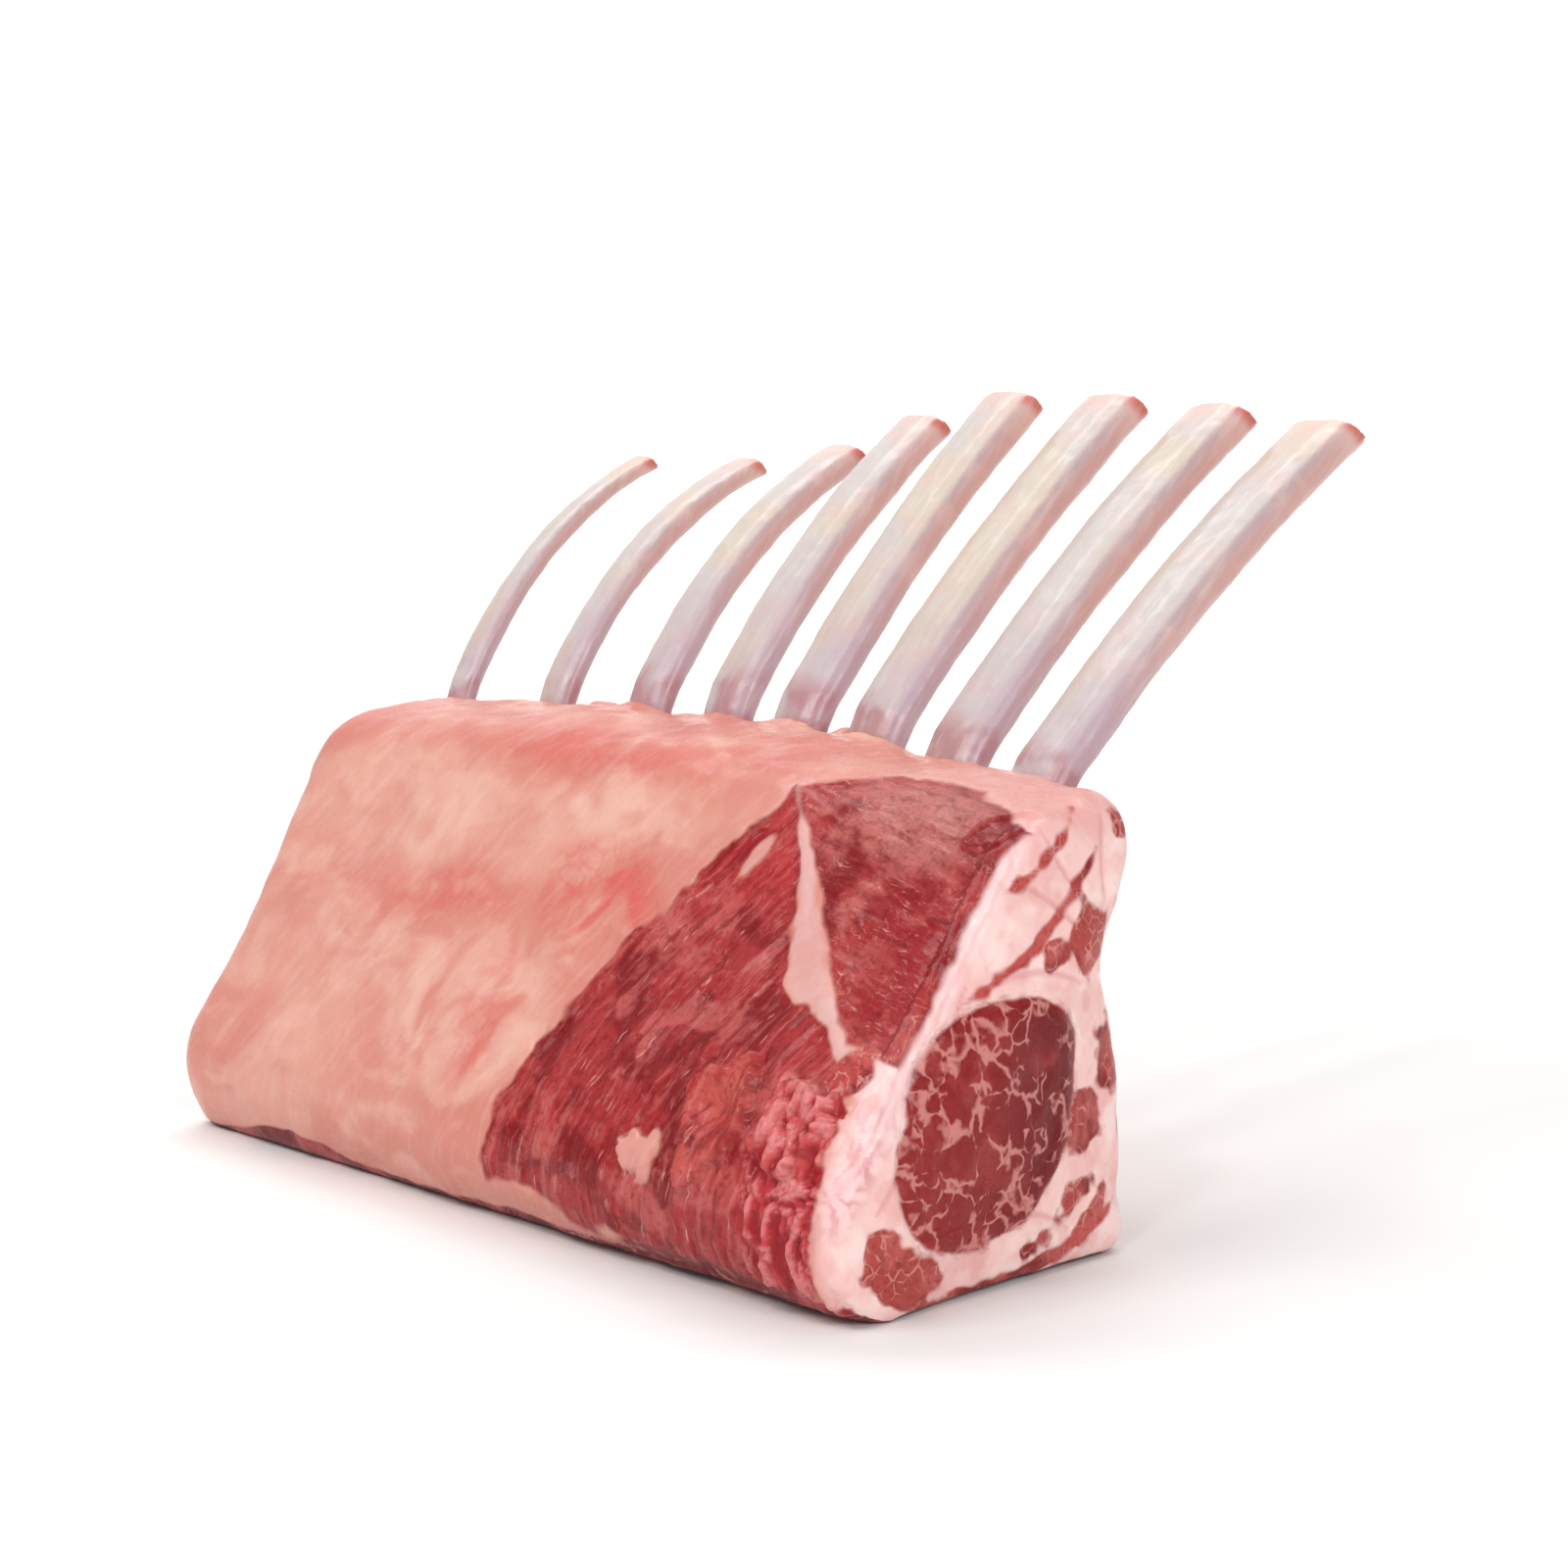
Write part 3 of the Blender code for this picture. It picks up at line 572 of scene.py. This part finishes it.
# Raw lamb: fat is waxy and salmon pink, lean is wet and dark with white marbling and long fibres.
# Both let light a little way in, and a film of juice gives them a gloss.
lamb = bpy.data.materials.new("raw_lamb")
lamb.use_nodes = True
t = lamb.node_tree
shader = t.nodes["Principled BSDF"]
place = put(t, "TexCoord", {}, out="Object")
read = {n: put(t, "Attribute", {}, out="Fac", attribute_name=n)
        for n in ("lean", "marbling", "netted", "fibrous", "blush")}
fibres = put(t, "Attribute", {}, out="Vector", attribute_name="fibres")
cells = put(t, "Attribute", {}, out="Vector", attribute_name="cells")
lean_base = put(t, "Attribute", {}, out="Color", attribute_name="lean_colour")
fat_base = put(t, "Attribute", {}, out="Color", attribute_name="fat_colour")

wander = put(t, "TexNoise", {"Vector": place, "Scale": 1 / (7 * MM), "Detail": 2.0}, out="Color")
wander = put(t, "VectorMath", {0: wander, 1: (0.5, 0.5, 0.5)}, operation="SUBTRACT")
mottle = put(t, "TexNoise", {"Vector": place, "Scale": 1 / (6 * MM), "Detail": 5.0, "Distortion": 0.6})
fine = put(t, "TexNoise", {"Vector": place, "Scale": 1 / (1.3 * MM), "Detail": 3.0})

# Bundles of fibres about 2 mm across and threads about 0.6 mm, wandering by a millimetre or two.
wavy = put(t, "VectorMath", {0: wander, 3: 3.5}, operation="SCALE")
wavy = put(t, "VectorMath", {0: fibres, 1: wavy}, operation="ADD")
drawn_out = put(t, "VectorMath", {0: wavy, 1: (0.5, 0.045, 1)}, operation="MULTIPLY")
bundle = put(t, "TexNoise", {"Vector": drawn_out, "Scale": 1.0, "Detail": 3.0})
drawn_out = put(t, "VectorMath", {0: wavy, 1: (1.6, 0.12, 1)}, operation="MULTIPLY")
thread = put(t, "TexNoise", {"Vector": drawn_out, "Scale": 1.0, "Detail": 2.0})
amount = put(t, "MapRange", {0: bundle, 1: 0.52, 2: 0.72, 3: 0.0, 4: 0.55})
amount = put(t, "Math", {0: amount, 1: read["fibrous"]}, operation="MULTIPLY")
lean_look = put(t, "Mix", {0: amount, 6: lean_base, 7: linear("#cf716c")}, out=2, data_type="RGBA")
amount = put(t, "MapRange", {0: bundle, 1: 0.47, 2: 0.32, 3: 0.0, 4: 0.65})
amount = put(t, "Math", {0: amount, 1: read["fibrous"]}, operation="MULTIPLY")
lean_look = put(t, "Mix", {0: amount, 6: lean_look, 7: linear("#740f14")}, out=2, data_type="RGBA")
amount = put(t, "MapRange", {0: thread, 1: 0.60, 2: 0.72, 3: 0.0, 4: 0.8})
patches = put(t, "MapRange", {0: mottle, 1: 0.46, 2: 0.62})
amount = put(t, "Math", {0: amount, 1: patches}, operation="MULTIPLY")
amount = put(t, "Math", {0: amount, 1: read["fibrous"]}, operation="MULTIPLY")
lean_look = put(t, "Mix", {0: amount, 6: lean_look, 7: linear("#e0a199")}, out=2, data_type="RGBA")
amount = put(t, "MapRange", {0: fine, 1: 0.52, 2: 0.3, 3: 0.0, 4: 0.4})
lean_look = put(t, "Mix", {0: amount, 6: lean_look, 7: linear("#740f14")}, out=2, data_type="RGBA")

# Marbling: on the cuts a net of fat between cells of lean, 6 mm across in the eye and half that in the small
# muscles, elsewhere veins that wander. Both are thick in some places and thin in others.
shaken = put(t, "VectorMath", {0: wander, 3: 7.5}, operation="SCALE")
shaken = put(t, "VectorMath", {0: cells, 1: shaken}, operation="ADD")
edge = put(t, "TexVoronoi", {"Vector": shaken, "Scale": 1 / 4.6}, feature="DISTANCE_TO_EDGE")
edge = put(t, "Math", {0: edge, 1: 0.42}, operation="MULTIPLY")
swell = put(t, "TexNoise", {"Vector": place, "Scale": 1 / (2.6 * MM), "Detail": 2.0})
swell = put(t, "MapRange", {0: swell, 1: 0.36, 2: 0.66, 3: 0.35, 4: 1.7})
rill = put(t, "TexNoise", {"Vector": place, "Scale": 1 / (6.5 * MM), "Detail": 3.0, "Distortion": 1.1})
rill = put(t, "Math", {0: put(t, "Math", {0: rill, 1: 0.5}, operation="SUBTRACT")}, operation="ABSOLUTE")
edge = put(t, "Mix", {0: read["netted"], 2: rill, 3: edge})
patches = put(t, "TexNoise", {"Vector": place, "Scale": 1 / (8 * MM), "Detail": 3.0, "Roughness": 0.6})
patches = put(t, "MapRange", {0: patches, 1: 0.38, 2: 0.64})
width = put(t, "Math", {0: patches, 1: read["marbling"]}, operation="MULTIPLY")
width = put(t, "Math", {0: width, 1: swell}, operation="MULTIPLY")
width = put(t, "Math", {0: width, 1: 0.056, 2: 0.002}, operation="MULTIPLY_ADD")
vein = put(t, "Math", {0: edge, 1: width}, operation="DIVIDE")
vein = put(t, "MapRange", {0: vein, 1: 1.5, 2: 0.0, 4: 0.8}, interpolation_type="SMOOTHSTEP")
vein = put(t, "Math", {0: vein, 1: put(t, "MapRange", {0: width, 1: 0.004, 2: 0.022})}, operation="MULTIPLY")
lean_look = put(t, "Mix", {0: vein, 6: lean_look, 7: linear("#da8f88")}, out=2, data_type="RGBA")

# Fat: fine streaks of connective tissue, mottling, and thin vessels where there is blood under it.
amount = put(t, "MapRange", {0: bundle, 1: 0.5, 2: 0.74, 3: 0.0, 4: 0.14})
fat_look = put(t, "Mix", {0: amount, 6: fat_base, 7: linear("#f3d5cc")}, out=2, data_type="RGBA")
amount = put(t, "MapRange", {0: bundle, 1: 0.44, 2: 0.26, 3: 0.0, 4: 0.1})
fat_look = put(t, "Mix", {0: amount, 6: fat_look, 7: linear("#cf7f76")}, out=2, data_type="RGBA")
amount = put(t, "MapRange", {0: mottle, 1: 0.52, 2: 0.3, 3: 0.0, 4: 0.25})
fat_look = put(t, "Mix", {0: amount, 6: fat_look, 7: linear("#cf7f76")}, out=2, data_type="RGBA")
vessel = put(t, "TexNoise", {"Vector": place, "Scale": 1 / (13 * MM), "Detail": 5.0, "Distortion": 1.2})
vessel = put(t, "Math", {0: put(t, "Math", {0: vessel, 1: 0.5}, operation="SUBTRACT")}, operation="ABSOLUTE")
vessel = put(t, "MapRange", {0: vessel, 1: 0.06, 2: 0.0, 3: 0.0, 4: 0.3})
amount = put(t, "MapRange", {0: read["blush"], 1: 0.05, 2: 0.5, 3: 0.05, 4: 1.0})
vessel = put(t, "Math", {0: vessel, 1: amount}, operation="MULTIPLY")
fat_look = put(t, "Mix", {0: vessel, 6: fat_look, 7: linear("#cf5a54")}, out=2, data_type="RGBA")

# The border between them wanders by a millimetre, and the lean is darkest along it.
ragged = put(t, "TexNoise", {"Vector": place, "Scale": 1 / (8 * MM), "Detail": 2.0, "Roughness": 0.45})
ragged = put(t, "Math", {0: ragged, 1: 3.0, 2: -1.5}, operation="MULTIPLY_ADD")
ragged = put(t, "Math", {0: ragged, 1: read["lean"]}, operation="ADD")
amount = put(t, "MapRange", {0: ragged, 1: 1.4, 2: 0.2, 3: 0.0, 4: 0.08})
lean_look = put(t, "Mix", {0: amount, 6: lean_look, 7: linear("#740f14")}, out=2, data_type="RGBA")
is_lean = put(t, "MapRange", {0: ragged, 1: -0.75, 2: 0.6}, interpolation_type="SMOOTHSTEP")
look = put(t, "Mix", {0: is_lean, 6: fat_look, 7: lean_look}, out=2, data_type="RGBA")
t.links.new(look, shader.inputs["Base Color"])

wet = put(t, "MapRange", {0: fine, 1: 0.3, 2: 0.7, 3: 0.24, 4: 0.44})
t.links.new(wet, shader.inputs["Roughness"])
height = put(t, "Math", {0: bundle, 1: 0.7, 2: thread}, operation="MULTIPLY_ADD")
height = put(t, "Math", {0: height, 1: read["fibrous"]}, operation="MULTIPLY")
height = put(t, "Math", {0: height, 1: is_lean}, operation="MULTIPLY")
grain = put(t, "MapRange", {0: is_lean, 3: 0.15, 4: 0.5})  # fat is smoother than lean
height = put(t, "Math", {0: fine, 1: grain, 2: height}, operation="MULTIPLY_ADD")
height = put(t, "Math", {0: vein, 1: 0.3, 2: height}, operation="MULTIPLY_ADD")
rough = put(t, "Bump", {"Height": height, "Distance": 0.45 * MM, "Strength": 0.7})
t.links.new(rough, shader.inputs["Normal"])
shader.inputs["IOR"].default_value = 1.38
shader.inputs["Specular IOR Level"].default_value = 0.2
shader.inputs["Coat Weight"].default_value = 0.15
shader.inputs["Coat Roughness"].default_value = 0.1
shader.inputs["Subsurface Weight"].default_value = 0.08
shader.inputs["Subsurface Radius"].default_value = (1.0, 0.35, 0.25)
shader.inputs["Subsurface Scale"].default_value = 0.0015

flesh.data.materials.append(lamb)
flesh.data.shade_smooth()
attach(flesh, "root")
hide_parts("loin_block", "eye_muscle", "cap_muscle")


# ---------------------------------------------------------------------------------------------------
# The ribs: flat curved bones, scraped clean of meat and web, and sawn off aslant at the tips.
# Their outer faces are cream, their edges pink, and the marrow shows in the cuts; their sides facing +x get
# painted shade in mauve, and the mauve near the roots is partly membrane and partly painted shade.

BONE_VOXEL = 0.75
BONE_DEPTH = 15.0  # how far each bone goes on inside the flesh
TIP_DEPTH = 1.8  # the saw took this much off a tip
TIP_LEAN = 0.6  # and cut it this much nearer to level than square

scraped = bpy.data.materials.new("scraped_bone")
scraped.use_nodes = True
t = scraped.node_tree
shader = t.nodes["Principled BSDF"]
base = put(t, "Attribute", {}, out="Color", attribute_name="bone_colour")
length_ways = put(t, "Attribute", {}, out="Vector", attribute_name="length_ways")
streak = put(t, "TexNoise", {"Vector": length_ways, "Scale": 1 / 1.6, "Detail": 4.0, "Distortion": 0.4})
place = put(t, "TexCoord", {}, out="Object")
speck = put(t, "TexNoise", {"Vector": place, "Scale": 1 / (1.1 * MM), "Detail": 3.0})
cloud = put(t, "TexNoise", {"Vector": place, "Scale": 1 / (6.0 * MM), "Detail": 3.0})
amount = put(t, "MapRange", {0: streak, 1: 0.5, 2: 0.8, 3: 0.0, 4: 0.35})
look = put(t, "Mix", {0: amount, 6: base, 7: linear("#e2d9d2")}, out=2, data_type="RGBA")
amount = put(t, "MapRange", {0: streak, 1: 0.46, 2: 0.2, 3: 0.0, 4: 0.3})
look = put(t, "Mix", {0: amount, 6: look, 7: linear("#cfaaa6")}, out=2, data_type="RGBA")
amount = put(t, "MapRange", {0: speck, 1: 0.66, 2: 0.74, 3: 0.0, 4: 0.4})
patches = put(t, "MapRange", {0: cloud, 1: 0.5, 2: 0.62})
amount = put(t, "Math", {0: amount, 1: patches}, operation="MULTIPLY")
look = put(t, "Mix", {0: amount, 6: look, 7: linear("#c9655f")}, out=2, data_type="RGBA")
t.links.new(look, shader.inputs["Base Color"])
t.links.new(put(t, "MapRange", {0: cloud, 1: 0.3, 2: 0.7, 3: 0.28, 4: 0.5}), shader.inputs["Roughness"])
height = put(t, "Math", {0: speck, 1: 0.4, 2: streak}, operation="MULTIPLY_ADD")
rough = put(t, "Bump", {"Height": height, "Distance": 0.25 * MM, "Strength": 0.5})
t.links.new(rough, shader.inputs["Normal"])
shader.inputs["IOR"].default_value = 1.5
shader.inputs["Coat Weight"].default_value = 0.2
shader.inputs["Coat Roughness"].default_value = 0.15
shader.inputs["Subsurface Weight"].default_value = 0.1
shader.inputs["Subsurface Radius"].default_value = (1.0, 0.6, 0.45)
shader.inputs["Subsurface Scale"].default_value = 0.0012

for number in range(1, RIB_COUNT + 1):
    rib = copy_of(f"rib_{number}", f"rib_bone_{number}")
    place, direction = root_cut(number, -BONE_DEPTH)
    bpy.ops.mesh.bisect(plane_co=place, plane_no=direction, use_fill=True, clear_inner=True)
    bpy.ops.object.mode_set(mode="OBJECT")
    _, root_z, root_slope, tip_slope, width = roots[number]
    root_slope, tip_slope = math.radians(root_slope), math.radians(tip_slope)
    onward = Vector((0, math.cos(tip_slope), math.sin(tip_slope)))
    far = max(v.co.dot(onward) for v in rib.data.vertices)
    end = [v.co for v in rib.data.vertices if v.co.dot(onward) > far - 2.0 * MM]
    middle = sum(end, Vector()) / len(end) - onward * TIP_DEPTH * MM
    bpy.ops.object.mode_set(mode="EDIT")
    bpy.ops.mesh.select_all(action="SELECT")
    across_tip = onward + Vector((0, 0, TIP_LEAN))
    bpy.ops.mesh.bisect(plane_co=middle, plane_no=across_tip, use_fill=True, clear_outer=True)
    bpy.ops.object.mode_set(mode="OBJECT")
    apply_modifier(rib, "REMESH", mode="VOXEL", voxel_size=BONE_VOXEL * MM)
    apply_modifier(rib, "SMOOTH", factor=0.5, iterations=1)
    bone, facing = places_of(rib), normals_of(rib)
    x, y, z = bone.T
    reach = (y - ROOT_Y) * math.cos(root_slope) + (z - root_z) * math.sin(root_slope)
    share = np.clip(reach / reach.max(), 0, 1)
    slope = root_slope * (1 - share) + tip_slope * share
    outer = -facing[:, 1] * np.sin(slope) + facing[:, 2] * np.cos(slope)
    tipward = facing[:, 1] * np.cos(slope) + facing[:, 2] * np.sin(slope)
    thickness = z * math.cos(root_slope) - y * math.sin(root_slope)
    ways = np.stack([x, thickness, reach / 9 + number * 31], axis=1)

    colour = np.tile(linear("#cbc1bd")[:3], (len(bone), 1))
    colour = wash(colour, "#d3c2ae", 0.75 * ramp(bumps(bone, 22, 20 + number, 2), -0.2, 0.5))
    # Painted shade: the sides facing +x are darkened to a mauve shade colour.
    colour = wash(colour, "#b5969a", 0.9 * ramp(facing[:, 0], 0.1, 0.8))
    colour = wash(colour, "#d9a59c", 0.7 * ramp(facing[:, 0], 0.7, 0.95))
    colour = wash(colour, "#dcb3aa", 0.6 * ramp(-facing[:, 0], 0.4, 0.9))
    colour = wash(colour, "#e0b4aa", 0.9 * ramp(-outer, 0.1, 0.7))
    blotch = bumps(bone, 9, 40 + number, 3)
    colour = wash(colour, "#d08f86", 0.45 * ramp(-outer, 0.0, 0.6) * ramp(blotch, -0.1, 0.7))
    colour = wash(colour, "#e0b7ae", 0.3 * ramp(blotch, 0.1, 0.9))
    # Mauve near the root: a real membrane film, plus painted shade that is strongest on the side facing +x.
    root_film_and_shade = ramp(reach, 45, 6) * (0.25 + 0.75 * ramp(facing[:, 0], -0.4, 0.6))
    colour = wash(colour, "#b9a0ae", 0.75 * root_film_and_shade)
    colour = wash(colour, "#ad6c74", 0.7 * ramp(reach, 7, -2) * ramp(blotch, -0.7, 0.5))
    from_tip = reach.max() - reach
    colour = wash(colour, "#e9bfb3", 0.55 * ramp(from_tip, 16, 0))
    sawn = ramp(tipward, 0.6, 0.85) * ramp(from_tip, 12, 4)
    colour = wash(colour, "#f0d9c8", sawn)
    middle = np.abs(x - x[from_tip < 8].mean()) / width * 2
    marrow = ramp(tipward, 0.86, 0.97) * ramp(from_tip, 12, 4) * ramp(middle, 0.95, 0.5)
    colour = wash(colour, "#cf7468", 0.9 * marrow)
    colour = wash(colour, "#cc5548", 0.85 * ramp(from_tip, 5.0, 1.5) * ramp(facing[:, 0], 0.2, 0.7))

    lumps = 0.2 * bumps(bone, 22, 60 + number, 2) + 0.07 * bumps(bone, 4, 80 + number, 2)
    lumps *= ramp(reach, -4, 3)
    moved = bone + facing * lumps[:, None]
    rib.data.vertices.foreach_set("co", (moved * MM + np.array(corner)).astype(np.float32).ravel())
    rib.data.update()
    keep(rib, "bone_colour", colour, "FLOAT_COLOR")
    keep(rib, "length_ways", ways, "FLOAT_VECTOR")
    rib.data.materials.append(scraped)
    rib.data.shade_smooth()
    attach(rib, "root")
    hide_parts(f"rib_{number}")
